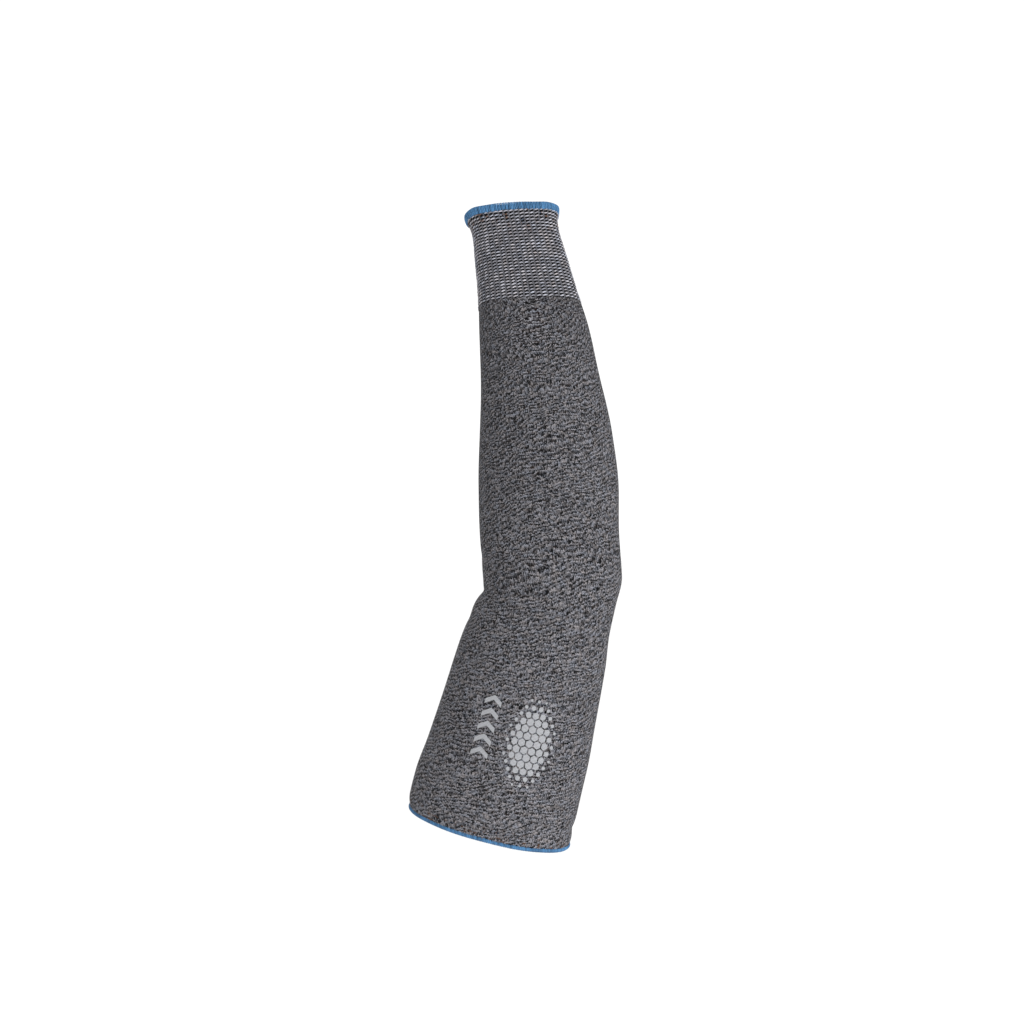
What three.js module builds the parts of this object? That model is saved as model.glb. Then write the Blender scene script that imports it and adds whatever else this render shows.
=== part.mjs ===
import * as THREE from "three";

// A knitted cut resistant sleeve in the form that it has when worn, wrist end up, in millimetres and degrees.
// The origin is the middle of the upper-arm opening. +Z runs up to the wrist, +X is the side of the elbow's point,
// -X the side of its crook, -Y the front and +Y the back.

// Lengths along the middle of the sleeve
const UPPER_ARM_LENGTH = 168;
const FOREARM_LENGTH = 206;
const CUFF_LENGTH = 71;

// Outside width (along X) and depth (along Y) of the knit, and the power of its oval: 2 is an ellipse, more is squarer
const UPPER_ARM = { width: 115, depth: 105, oval: 2.0 };
const ELBOW = { width: 95, depth: 92, oval: 2.1 };
const FOREARM = { width: 97, depth: 86, oval: 2.05 };
const WRIST = { width: 61, depth: 46, oval: 2.9 };

// Walls of the plain knit and of the thicker cuff
const BODY_WALL = 1.2;
const CUFF_WALL = 1.6;

// Overlock stitches that bind each edge: their reach along the sleeve, and the thickness of their thread
const WRIST_HEM_HEIGHT = 5.6;
const UPPER_ARM_HEM_HEIGHT = 3;
const HEM_THREAD = 0.7;

// Clearance between one piece and the next
const SEAM_GAP = 0.3;

// Fineness: sides around each ring, the longest steps from ring to ring, and the steps of the middle line
const SIDES = 36;
const BODY_RING_STEP = 10;
const CUFF_RING_STEP = 6.5;
const MIDDLE_LINE_STEPS = 450;

const CUFF_START = UPPER_ARM_LENGTH + FOREARM_LENGTH;
const SLEEVE_LENGTH = CUFF_START + CUFF_LENGTH;

const STRETCHES = {
  upperArm: { start: 0, length: UPPER_ARM_LENGTH },
  forearm: { start: UPPER_ARM_LENGTH, length: FOREARM_LENGTH },
  cuff: { start: CUFF_START, length: CUFF_LENGTH },
};

// How the sleeve heads. along is a share of the stretch's length. path is the lean of the middle line towards +X,
// turn is the lean of the rows of stitches, which lag behind it at the elbow, and tilt is the lean of both to +Y.
const BENDS = [
  { on: "upperArm", along: 0.0, path: 11.4, turn: 14, tilt: -5 },
  { on: "upperArm", along: 0.7, path: 15.6, turn: 13, tilt: -4 },
  { on: "upperArm", along: 0.95, path: 17.0, turn: 8.5, tilt: -1 },
  { on: "forearm", along: 0.1, path: -3.0, turn: 5, tilt: 5 },
  { on: "forearm", along: 0.27, path: -2.0, turn: 2.5, tilt: 8 },
  { on: "forearm", along: 0.55, path: -2.6, turn: 0, tilt: 8.5 },
  { on: "forearm", along: 0.8, path: -8.0, turn: -1, tilt: 9 },
  { on: "cuff", along: 0.15, path: -10.2, turn: -2.5, tilt: 10 },
  { on: "cuff", along: 1.0, path: -11.5, turn: -4.8, tilt: 10 },
];

// The knit's outside from the upper arm to the wrist. crook, point, front and back are how far it reaches to that
// side of the middle line, as a share of half the girth's width or depth.
const SECTIONS = [
  { on: "upperArm", along: 0.0, girth: UPPER_ARM, crook: 1.0, point: 0.98, front: 0.98, back: 0.98 },
  { on: "upperArm", along: 0.06, girth: UPPER_ARM, crook: 1.04, point: 0.99, front: 1.0, back: 1.0 },
  { on: "upperArm", along: 0.16, girth: UPPER_ARM, crook: 1.03, point: 1.0, front: 1.0, back: 1.0 },
  { on: "upperArm", along: 0.32, girth: UPPER_ARM, crook: 0.97, point: 1.0, front: 0.99, back: 1.0 },
  { on: "upperArm", along: 0.53, girth: UPPER_ARM, crook: 0.92, point: 0.96, front: 0.96, back: 0.97 },
  { on: "upperArm", along: 0.75, girth: UPPER_ARM, crook: 0.89, point: 0.9, front: 0.92, back: 0.92 },
  { on: "upperArm", along: 0.9, girth: ELBOW, crook: 1.03, point: 1.0, front: 1.01, back: 0.97 },
  { on: "forearm", along: 0.0, girth: ELBOW, crook: 0.985, point: 0.98, front: 1.03, back: 0.94 },
  { on: "forearm", along: 0.09, girth: ELBOW, crook: 1.02, point: 1.035, front: 1.02, back: 0.95 },
  { on: "forearm", along: 0.23, girth: FOREARM, crook: 1.01, point: 1.0, front: 1.04, back: 1.02 },
  { on: "forearm", along: 0.38, girth: FOREARM, crook: 1.0, point: 1.02, front: 0.98, back: 1.02 },
  { on: "forearm", along: 0.55, girth: FOREARM, crook: 0.955, point: 0.965, front: 0.92, back: 0.97 },
  { on: "forearm", along: 0.75, girth: FOREARM, crook: 0.875, point: 0.85, front: 0.84, back: 0.86 },
  { on: "forearm", along: 0.92, girth: WRIST, crook: 1.265, point: 1.26, front: 1.4, back: 1.36 },
  { on: "cuff", along: 0.15, girth: WRIST, crook: 1.14, point: 1.135, front: 1.22, back: 1.2 },
  { on: "cuff", along: 0.52, girth: WRIST, crook: 1.055, point: 1.045, front: 1.06, back: 1.05 },
  { on: "cuff", along: 0.78, girth: WRIST, crook: 1.0, point: 0.99, front: 1.0, back: 1.0 },
  { on: "cuff", along: 0.87, girth: WRIST, crook: 1.01, point: 1.01, front: 1.01, back: 1.01 },
  { on: "cuff", along: 0.94, girth: WRIST, crook: 1.07, point: 1.07, front: 1.06, back: 1.05 },
  { on: "cuff", along: 1.0, girth: WRIST, crook: 1.1, point: 1.09, front: 1.07, back: 1.06 },
];

function distanceOf(row) {
  const stretch = STRETCHES[row.on];
  return stretch.start + row.along * stretch.length;
}

const bends = BENDS.map((row) => ({ ...row, distance: distanceOf(row) }));

const sections = SECTIONS.map((row) => ({
  distance: distanceOf(row),
  crook: (row.crook * row.girth.width) / 2,
  point: (row.point * row.girth.width) / 2,
  front: (row.front * row.girth.depth) / 2,
  back: (row.back * row.girth.depth) / 2,
  oval: row.girth.oval,
}));

// Slope of a column at a row: none where the column turns round there, so that the curve never overshoots a row
function slopeAt(rows, column, row) {
  const rise = (from, to) => (rows[to][column] - rows[from][column]) / (rows[to].distance - rows[from].distance);
  if (row === 0) return rise(0, 1);
  if (row === rows.length - 1) return rise(row - 1, row);
  const before = rise(row - 1, row);
  const after = rise(row, row + 1);
  return before * after > 0 ? (2 * before * after) / (before + after) : 0;
}

// Value of a column at any distance along the sleeve, on a smooth curve through the rows
function valueAt(rows, column, distance) {
  const next = Math.max(1, rows.findIndex((row, index) => row.distance >= distance || index === rows.length - 1));
  const low = rows[next - 1];
  const high = rows[next];
  const span = high.distance - low.distance;
  const t = (distance - low.distance) / span;
  const rising = slopeAt(rows, column, next - 1) * span;
  const leaving = slopeAt(rows, column, next) * span;
  return (
    low[column] * (1 + 2 * t) * (1 - t) ** 2 +
    rising * t * (1 - t) ** 2 +
    high[column] * t ** 2 * (3 - 2 * t) +
    leaving * t ** 2 * (t - 1)
  );
}

function heading(lean, tilt) {
  const sideways = THREE.MathUtils.degToRad(lean);
  const away = THREE.MathUtils.degToRad(tilt);
  return new THREE.Vector3(
    Math.sin(sideways) * Math.cos(away),
    Math.sin(away),
    Math.cos(sideways) * Math.cos(away),
  );
}

// Points of the middle line, evenly spaced from the upper-arm opening to the wrist
function middleLine() {
  const step = SLEEVE_LENGTH / MIDDLE_LINE_STEPS;
  const points = [new THREE.Vector3()];
  for (let i = 0; i < MIDDLE_LINE_STEPS; i += 1) {
    const distance = (i + 0.5) * step;
    const direction = heading(valueAt(bends, "path", distance), valueAt(bends, "tilt", distance));
    points.push(points[i].clone().addScaledVector(direction, step));
  }
  return points;
}

const middle = middleLine();

function middleAt(distance) {
  const place = (distance / SLEEVE_LENGTH) * MIDDLE_LINE_STEPS;
  const index = Math.min(Math.floor(place), MIDDLE_LINE_STEPS - 1);
  return middle[index].clone().lerp(middle[index + 1], place - index);
}

// One ring of points in a row of stitches, a depth below the outside of the knit. A depth below 0 stands proud.
function ring({ distance, depth }) {
  const axis = heading(valueAt(bends, "turn", distance), valueAt(bends, "tilt", distance));
  const across = new THREE.Vector3(1, 0, 0).addScaledVector(axis, -axis.x).normalize();
  const away = axis.clone().cross(across);
  const centre = middleAt(distance);
  const oval = valueAt(sections, "oval", distance);
  const points = [];
  for (let side = 0; side < SIDES; side += 1) {
    const angle = (side / SIDES) * 2 * Math.PI;
    const cos = Math.cos(angle);
    const sin = Math.sin(angle);
    const width = valueAt(sections, cos > 0 ? "point" : "crook", distance);
    const reach = valueAt(sections, sin > 0 ? "back" : "front", distance);
    const x = width * Math.sign(cos) * Math.abs(cos) ** (2 / oval);
    const y = reach * Math.sign(sin) * Math.abs(sin) ** (2 / oval);
    const normal = new THREE.Vector2(
      (Math.sign(x) * Math.abs(x / width) ** (oval - 1)) / width,
      (Math.sign(y) * Math.abs(y / reach) ** (oval - 1)) / reach,
    ).normalize();
    points.push(
      centre
        .clone()
        .addScaledVector(across, x - normal.x * depth)
        .addScaledVector(away, y - normal.y * depth),
    );
  }
  return points;
}

// A closed wall around the arm. Its outline goes up the outside and back down the inside, one ring for each point.
function wrapped(outline) {
  const rings = outline.map(ring);
  const positions = [];
  rings.forEach((low, index) => {
    const high = rings[(index + 1) % rings.length];
    low.forEach((corner, side) => {
      const next = (side + 1) % SIDES;
      const faces = [corner, low[next], high[next], corner, high[next], high[side]];
      faces.forEach((point) => positions.push(point.x, point.y, point.z));
    });
  });
  const geometry = new THREE.BufferGeometry();
  geometry.setAttribute("position", new THREE.Float32BufferAttribute(positions, 3));
  geometry.computeVertexNormals();
  return geometry;
}

// Distances of the rings of a wall: its two ends, every section between them and even steps between those
function ringDistances(start, end, longestStep) {
  const stops = sections.map((row) => row.distance).filter((distance) => distance > start && distance < end);
  const marks = [start, ...stops, end];
  const distances = [start];
  marks.slice(1).forEach((mark, index) => {
    const count = Math.ceil((mark - marks[index]) / longestStep);
    for (let step = 1; step <= count; step += 1) {
      distances.push(marks[index] + ((mark - marks[index]) * step) / count);
    }
  });
  return distances;
}

function knitWall(start, end, wall, longestStep) {
  const distances = ringDistances(start, end, longestStep);
  const outside = distances.map((distance) => ({ distance, depth: 0 }));
  const inside = distances.map((distance) => ({ distance, depth: wall })).reverse();
  return wrapped([...outside, ...inside]);
}

// Overlock stitches around an edge at a distance: a channel over the knit's outside, edge and inside, whose corners
// are rounded off. inward is 1 where the sleeve lies above the edge and -1 where it lies below.
function hemChannel(edge, inward, height, wall) {
  const clear = SEAM_GAP;
  const full = SEAM_GAP + HEM_THREAD;
  const corner = HEM_THREAD / 2;
  const outline = [
    { reach: height, depth: -clear - corner },
    { reach: height - corner, depth: -full },
    { reach: full, depth: -full },
    { reach: corner, depth: -clear - corner },
    { reach: 0, depth: 0 },
    { reach: 0, depth: wall },
    { reach: corner, depth: wall + clear + corner },
    { reach: full, depth: wall + full },
    { reach: height - corner, depth: wall + full },
    { reach: height, depth: wall + clear + corner },
    { reach: height, depth: wall + clear },
    { reach: HEM_THREAD, depth: wall + clear },
    { reach: HEM_THREAD, depth: -clear },
    { reach: height, depth: -clear },
  ].map(({ reach, depth }) => ({ distance: edge + inward * reach, depth }));
  return wrapped(inward > 0 ? outline.reverse() : outline);
}

const BODY_KNIT = new THREE.MeshStandardMaterial({ name: "body_knit", color: "#58585b", roughness: 0.95, metalness: 0 });
const CUFF_KNIT = new THREE.MeshStandardMaterial({ name: "cuff_knit", color: "#65656a", roughness: 0.95, metalness: 0 });
const HEM_YARN = new THREE.MeshStandardMaterial({ name: "hem_yarn", color: "#3d79b4", roughness: 0.8, metalness: 0 });

function piece(name, geometry, material) {
  const mesh = new THREE.Mesh(geometry, material);
  mesh.name = name;
  return mesh;
}

// Plain knit tube of the upper arm, elbow and forearm
function armTube() {
  const start = HEM_THREAD + SEAM_GAP;
  return piece("arm_tube", knitWall(start, CUFF_START, BODY_WALL, BODY_RING_STEP), BODY_KNIT);
}

// Firm cuff that grips the wrist
function wristCuff() {
  const start = CUFF_START + SEAM_GAP;
  const end = SLEEVE_LENGTH - HEM_THREAD - SEAM_GAP;
  return piece("wrist_cuff", knitWall(start, end, CUFF_WALL, CUFF_RING_STEP), CUFF_KNIT);
}

function wristHem() {
  return piece("wrist_hem", hemChannel(SLEEVE_LENGTH, -1, WRIST_HEM_HEIGHT, CUFF_WALL), HEM_YARN);
}

function upperArmHem() {
  return piece("upper_arm_hem", hemChannel(0, 1, UPPER_ARM_HEM_HEIGHT, BODY_WALL), HEM_YARN);
}

const sleeve = new THREE.Group();
sleeve.name = "cut_resistant_sleeve";
sleeve.add(armTube(), wristCuff(), wristHem(), upperArmHem());

export default sleeve;
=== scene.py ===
from collections import namedtuple
from math import ceil, pi, radians, sqrt

import bpy
import numpy as np
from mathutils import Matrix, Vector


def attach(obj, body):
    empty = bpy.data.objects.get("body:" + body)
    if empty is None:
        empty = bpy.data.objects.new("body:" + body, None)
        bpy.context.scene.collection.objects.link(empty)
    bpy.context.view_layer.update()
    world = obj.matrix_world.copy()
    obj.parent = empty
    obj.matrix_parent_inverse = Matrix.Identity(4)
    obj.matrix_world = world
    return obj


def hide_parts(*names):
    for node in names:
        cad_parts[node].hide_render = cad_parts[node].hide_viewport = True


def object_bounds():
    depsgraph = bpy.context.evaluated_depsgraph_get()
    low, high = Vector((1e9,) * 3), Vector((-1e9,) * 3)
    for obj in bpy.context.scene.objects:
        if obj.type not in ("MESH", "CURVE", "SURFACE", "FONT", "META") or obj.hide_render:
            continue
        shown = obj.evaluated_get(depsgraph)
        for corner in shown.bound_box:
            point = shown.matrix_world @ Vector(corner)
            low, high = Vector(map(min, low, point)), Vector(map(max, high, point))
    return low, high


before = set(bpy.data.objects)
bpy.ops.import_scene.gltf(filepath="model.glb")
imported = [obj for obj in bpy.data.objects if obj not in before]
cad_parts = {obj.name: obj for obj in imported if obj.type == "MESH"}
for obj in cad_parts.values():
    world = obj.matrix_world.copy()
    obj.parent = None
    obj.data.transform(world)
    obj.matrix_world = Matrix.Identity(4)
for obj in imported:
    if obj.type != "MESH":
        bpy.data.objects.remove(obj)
cad_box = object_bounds()


# Camera and studio
# White light all round, and a long lens that looks at the sleeve level from 1.6 m. The floor is white and
# far below, and one large soft lamp at the right gives the knit its gentle shading.
CAMERA_PLACE = (0.0154, -1.6, 0.2206)
PICTURE_WIDTH = 0.7168
FLOOR_DROP = 0.4
FLOOR_SIZE = 60
SKY_LIGHT = 1.1
KEY_LAMP = {"place": (1.5, -1.7, 0.45), "aim": (0.02, 0.0, 0.2), "size": 1.4, "power": 42}


def linear_colour(code):
    """A colour's sRGB hex code as linear red, green, blue and alpha."""
    shares = [int(code[place : place + 2], 16) / 255 for place in (1, 3, 5)]
    return [s / 12.92 if s <= 0.04045 else ((s + 0.055) / 1.055) ** 2.4 for s in shares] + [1.0]


def add(tree, kind, inputs=(), **settings):
    """A new node in a tree. inputs gives each of its sockets a value, a socket, or a node's first output."""
    made = tree.nodes.new(kind)
    for name, value in settings.items():
        setattr(made, name, value)
    for socket, source in dict(inputs).items():
        if isinstance(source, bpy.types.Node):
            source = source.outputs[0]
        if isinstance(source, bpy.types.NodeSocket):
            tree.links.new(source, made.inputs[socket])
        else:
            made.inputs[socket].default_value = source
    return made


def new_material(name):
    """An empty material, its tree and its shader, which is already joined to the output."""
    material = bpy.data.materials.new(name)
    material.use_nodes = True
    tree = material.node_tree
    tree.nodes.clear()
    shader = add(tree, "ShaderNodeBsdfPrincipled")
    add(tree, "ShaderNodeOutputMaterial", {"Surface": shader})
    return material, tree, shader


def place_object(name, data):
    made = bpy.data.objects.new(name, data)
    bpy.context.collection.objects.link(made)
    return made


lens = bpy.data.cameras.new("camera")
lens.sensor_width = 36
lens.lens = lens.sensor_width * -CAMERA_PLACE[1] / PICTURE_WIDTH
camera = place_object("camera", lens)
camera.location = CAMERA_PLACE
camera.rotation_euler = (radians(90), 0, 0)
bpy.context.scene.camera = camera
bpy.context.scene.view_settings.view_transform = "Standard"

world = bpy.data.worlds.new("white studio")
world.use_nodes = True
sky = world.node_tree.nodes["Background"]
sky.inputs["Color"].default_value = linear_colour("#FFFFFF")
sky.inputs["Strength"].default_value = SKY_LIGHT
bpy.context.scene.world = world

half = FLOOR_SIZE / 2
floor_level = cad_box[0].z - FLOOR_DROP
floor_corners = [(x, y, floor_level) for x, y in ((-half, -half), (half, -half), (half, half), (-half, half))]
floor_mesh = bpy.data.meshes.new("floor")
floor_mesh.from_pydata(floor_corners, [], [(0, 1, 2, 3)])
floor = place_object("floor", floor_mesh)
floor_paint, _, floor_shader = new_material("matt white floor paint")
floor_shader.inputs["Base Color"].default_value = linear_colour("#F6F6F6")
floor_shader.inputs["Roughness"].default_value = 0.9
floor_shader.inputs["Specular IOR Level"].default_value = 0.1
floor_mesh.materials.append(floor_paint)

lamp = bpy.data.lights.new("key lamp", "AREA")
lamp.shape = "DISK"
lamp.size = KEY_LAMP["size"]
lamp.energy = KEY_LAMP["power"]
key = place_object("key lamp", lamp)
key.location = KEY_LAMP["place"]
aim = Vector(KEY_LAMP["aim"]) - key.location
key.rotation_euler = aim.to_track_quat("-Z", "Y").to_euler()


# Arm tube
# The long tube of the sleeve, from the wide end past the elbow to the cuff. It is knitted in the round from
# one marled yarn, a light and a dark strand twisted together, so it has no seam, and it is shown in its worn,
# stretched form. Its lengths and girths are in mm.
MM = 0.001
Girth = namedtuple("Girth", "width depth oval")
UPPER_ARM = Girth(115, 105, 2.0)
ELBOW = Girth(95, 92, 2.1)
FOREARM = Girth(97, 86, 2.05)
WRIST = Girth(61, 46, 2.9)
UPPER_ARM_LENGTH = 168
FOREARM_LENGTH = 206
CUFF_LENGTH = 71
CUFF_START = UPPER_ARM_LENGTH + FOREARM_LENGTH
SLEEVE_LENGTH = CUFF_START + CUFF_LENGTH
STRETCHES = {
    "upper arm": (0, UPPER_ARM_LENGTH),
    "forearm": (UPPER_ARM_LENGTH, FOREARM_LENGTH),
    "cuff": (CUFF_START, CUFF_LENGTH),
}

# path is the lean of the middle line towards the elbow's point, turn that of the rows of stitches, and tilt
# the lean of both to the back, in degrees.
Bend = namedtuple("Bend", "on along path turn tilt")
BENDS = [
    Bend("upper arm", 0.0, path=11.4, turn=14, tilt=-5),
    Bend("upper arm", 0.7, path=15.6, turn=13, tilt=-4),
    Bend("upper arm", 0.95, path=17.0, turn=8.5, tilt=-1),
    Bend("forearm", 0.1, path=-3.0, turn=5, tilt=5),
    Bend("forearm", 0.27, path=-2.0, turn=2.5, tilt=8),
    Bend("forearm", 0.55, path=-2.6, turn=0, tilt=8.5),
    Bend("forearm", 0.8, path=-8.0, turn=-1, tilt=9),
    Bend("cuff", 0.15, path=-10.2, turn=-2.5, tilt=10),
    Bend("cuff", 1.0, path=-11.5, turn=-4.8, tilt=10),
]

# How far the knit's outside reaches to each side, as a share of half the girth's width or depth.
Section = namedtuple("Section", "on along girth crook point front back")
SECTIONS = [
    Section("upper arm", 0.0, UPPER_ARM, crook=1.0, point=0.98, front=0.98, back=0.98),
    Section("upper arm", 0.06, UPPER_ARM, crook=1.04, point=0.99, front=1.0, back=1.0),
    Section("upper arm", 0.16, UPPER_ARM, crook=1.03, point=1.0, front=1.0, back=1.0),
    Section("upper arm", 0.32, UPPER_ARM, crook=0.97, point=1.0, front=0.99, back=1.0),
    Section("upper arm", 0.53, UPPER_ARM, crook=0.92, point=0.96, front=0.96, back=0.97),
    Section("upper arm", 0.75, UPPER_ARM, crook=0.89, point=0.9, front=0.92, back=0.92),
    Section("upper arm", 0.9, ELBOW, crook=1.03, point=1.0, front=1.01, back=0.97),
    Section("forearm", 0.0, ELBOW, crook=0.985, point=0.98, front=1.03, back=0.94),
    Section("forearm", 0.09, ELBOW, crook=1.02, point=1.035, front=1.02, back=0.95),
    Section("forearm", 0.23, FOREARM, crook=1.01, point=1.0, front=1.04, back=1.02),
    Section("forearm", 0.38, FOREARM, crook=1.0, point=1.02, front=0.98, back=1.02),
    Section("forearm", 0.55, FOREARM, crook=0.955, point=0.965, front=0.92, back=0.97),
    Section("forearm", 0.75, FOREARM, crook=0.875, point=0.85, front=0.84, back=0.86),
    Section("forearm", 0.92, WRIST, crook=1.265, point=1.26, front=1.4, back=1.36),
    Section("cuff", 0.15, WRIST, crook=1.14, point=1.135, front=1.22, back=1.2),
    Section("cuff", 0.52, WRIST, crook=1.055, point=1.045, front=1.06, back=1.05),
    Section("cuff", 0.78, WRIST, crook=1.0, point=0.99, front=1.0, back=1.0),
    Section("cuff", 0.87, WRIST, crook=1.01, point=1.01, front=1.01, back=1.01),
    Section("cuff", 0.94, WRIST, crook=1.07, point=1.07, front=1.06, back=1.05),
    Section("cuff", 1.0, WRIST, crook=1.1, point=1.09, front=1.07, back=1.06),
]

# Creases and dents in the knit, most of them in its bend. side is the direction from the middle line in
# degrees, 0 at the elbow's point and 270 at the front. deep, tall and wide are in mm, and rise is how far the
# crease climbs across.
Crease = namedtuple("Crease", "on along side deep tall wide rise")
CREASES = [
    Crease("upper arm", 0.985, side=180, deep=1.3, tall=3.2, wide=30, rise=3),
    Crease("upper arm", 0.93, side=188, deep=-0.6, tall=6, wide=30, rise=4),
    Crease("forearm", 0.045, side=186, deep=-0.5, tall=6, wide=26, rise=-4),
    Crease("upper arm", 0.87, side=196, deep=0.5, tall=4, wide=30, rise=7),
    Crease("forearm", 0.1, side=200, deep=0.45, tall=4, wide=28, rise=-6),
    Crease("upper arm", 0.085, side=355, deep=0.9, tall=4, wide=14, rise=2),
    Crease("upper arm", 0.04, side=350, deep=-0.5, tall=4, wide=12, rise=1),
]


def distances_of(rows):
    return np.array([STRETCHES[row.on][0] + row.along * STRETCHES[row.on][1] for row in rows], float)


def column_at(rows, values, distance):
    """A table's column at any distance up the sleeve: a smooth curve that never overshoots a row."""
    at = distances_of(rows)
    values = np.array(values, float)
    rise = np.diff(values) / np.diff(at)
    meeting = rise[:-1] * rise[1:]
    inner = np.where(meeting > 0, 2 * meeting / np.where(meeting > 0, rise[:-1] + rise[1:], 1), 0)
    slope = np.concatenate([rise[:1], inner, rise[-1:]])
    low = np.clip(np.searchsorted(at, distance) - 1, 0, len(at) - 2)
    span = at[low + 1] - at[low]
    t = (distance - at[low]) / span
    return (
        values[low] * (1 + 2 * t) * (1 - t) ** 2
        + slope[low] * span * t * (1 - t) ** 2
        + values[low + 1] * t**2 * (3 - 2 * t)
        + slope[low + 1] * span * t**2 * (t - 1)
    )


def heading(lean, tilt):
    lean, tilt = np.radians(lean), np.radians(tilt)
    return np.stack([np.sin(lean) * np.cos(tilt), np.sin(tilt), np.cos(lean) * np.cos(tilt)], -1)


MIDDLE_STEPS = 450
step_length = SLEEVE_LENGTH / MIDDLE_STEPS
step_middles = (np.arange(MIDDLE_STEPS) + 0.5) * step_length
middle_steps = heading(
    column_at(BENDS, [row.path for row in BENDS], step_middles),
    column_at(BENDS, [row.tilt for row in BENDS], step_middles),
)
middle_line = np.concatenate([np.zeros((1, 3)), np.cumsum(middle_steps * step_length, axis=0)])


def knit_surface(distance, angle, depth=0.0):
    """Points in mm at distances up the sleeve, angles around it and depths below the outside of the knit."""
    distance, angle, depth = np.broadcast_arrays(distance, angle, depth)
    tilt = column_at(BENDS, [row.tilt for row in BENDS], distance)
    axis = heading(column_at(BENDS, [row.turn for row in BENDS], distance), tilt)
    across = np.array([1.0, 0, 0]) - axis * axis[..., :1]
    across /= np.linalg.norm(across, axis=-1, keepdims=True)
    away = np.cross(axis, across)
    marks = np.arange(MIDDLE_STEPS + 1) * step_length
    centre = np.stack([np.interp(distance, marks, middle_line[:, i]) for i in range(3)], -1)
    oval = column_at(SECTIONS, [row.girth.oval for row in SECTIONS], distance)
    reach = {}
    for side, size in (("point", "width"), ("crook", "width"), ("back", "depth"), ("front", "depth")):
        reaches = [getattr(row, side) * getattr(row.girth, size) / 2 for row in SECTIONS]
        reach[side] = column_at(SECTIONS, reaches, distance)
    cos, sin = np.cos(angle), np.sin(angle)
    width = np.where(cos > 0, reach["point"], reach["crook"])
    height = np.where(sin > 0, reach["back"], reach["front"])
    x = width * np.sign(cos) * np.abs(cos) ** (2 / oval)
    y = height * np.sign(sin) * np.abs(sin) ** (2 / oval)
    normal_x = np.sign(x) * np.abs(x / width) ** (oval - 1) / width
    normal_y = np.sign(y) * np.abs(y / height) ** (oval - 1) / height
    length = np.hypot(normal_x, normal_y)
    depth = depth + crease_depth(distance, angle, (width + height) / 2)
    x = x - normal_x / length * depth
    y = y - normal_y / length * depth
    return centre + across * x[..., None] + away * y[..., None]


def crease_depth(distance, angle, radius):
    """How deep the creases press the knit in at each place."""
    deep = np.zeros(distance.shape)
    for crease, at in zip(CREASES, distances_of(CREASES)):
        turn = (np.degrees(angle) - crease.side + 180) % 360 - 180
        aside = np.radians(turn) * radius
        above = distance - at - crease.rise * aside / crease.wide
        deep += crease.deep * np.exp(-((above / crease.tall) ** 2) - (aside / crease.wide) ** 2)
    return deep


RING_STEPS = 2880


def even_angles(count, distance):
    """Angles of count even steps along the ring at that distance, once round."""
    fine = np.linspace(0, 2 * pi, RING_STEPS + 1)
    ring = knit_surface(np.full(fine.shape, float(distance)), fine)
    run = np.concatenate([[0], np.cumsum(np.linalg.norm(np.diff(ring, axis=0), axis=1))])
    return np.interp(np.linspace(0, run[-1], count + 1), run, fine)


# Shares of the baked picture: its height that the outside of a wall takes, and its empty margin
OUTSIDE_SHARE = 0.86
BAKE_MARGIN = 0.002


def wall_outline(start, end, wall, steps, inner_steps):
    """Each ring's distance and depth on a wall with rounded ends, up the outside and down the inside."""
    lip = wall / 2
    turns = np.radians(np.arange(-90, 91, 30))
    top = [(end - lip + lip * np.cos(t), lip + lip * np.sin(t)) for t in turns]
    bottom = [(start + lip - lip * np.cos(t), lip - lip * np.sin(t)) for t in turns]
    outside = [(d, 0.0) for d in np.linspace(start + lip, end - lip, steps + 1)[1:-1]]
    inside = [(d, wall) for d in np.linspace(end - lip, start + lip, inner_steps + 1)[1:-1]]
    return outside + top + inside + bottom


def knit_wall(name, start, end, wall, sides, steps, inner_steps, wales, course, reference):
    """A knitted wall with a map of its stitches, in wales and courses, and one for the baked picture. The
    faces on its inside take the second material."""
    outline = np.array(wall_outline(start, end, wall, steps, inner_steps))
    angles = even_angles(sides, reference)
    rings = len(outline)
    points = knit_surface(outline[:, :1], angles[None, :-1], outline[:, 1:]) * MM
    ring, side = np.meshgrid(np.arange(rings), np.arange(sides), indexing="ij")
    corners = [(ring, side), (ring, side + 1), (ring + 1, side + 1), (ring + 1, side)]
    faces = np.stack([(r % rings) * sides + s % sides for r, s in corners], -1).reshape(-1, 4)
    mesh = bpy.data.meshes.new(name)
    mesh.from_pydata(points.reshape(-1, 3).tolist(), [], faces.tolist())

    run = np.linalg.norm(np.roll(outline, -1, axis=0) - outline, axis=1)
    inner = (outline[:, 1] >= wall / 2) & (np.roll(outline[:, 1], -1) >= wall / 2)
    share = np.where(inner, (1 - OUTSIDE_SHARE) / run[inner].sum(), OUTSIDE_SHARE / run[~inner].sum())
    around = np.arange(sides + 1) / sides
    up = np.concatenate([[0], np.cumsum(run * share)])
    maps = {
        "OFBake": [BAKE_MARGIN + (1 - 2 * BAKE_MARGIN) * place for place in (around, up)],
        "knit": [around * wales, (np.append(outline[:, 0], outline[0, 0]) - start) / course],
    }
    for map_name, (across, along) in maps.items():
        uv = np.stack([np.stack([across[s], along[r]], -1) for r, s in corners], 2)
        layer = mesh.uv_layers.new(name=map_name)
        layer.data.foreach_set("uv", uv.reshape(-1).astype(np.float32))
    mesh.polygons.foreach_set("use_smooth", np.ones(len(faces), bool))
    mesh.polygons.foreach_set("material_index", np.repeat(inner, sides).astype(np.int32))
    return place_object(name, mesh)


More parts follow.
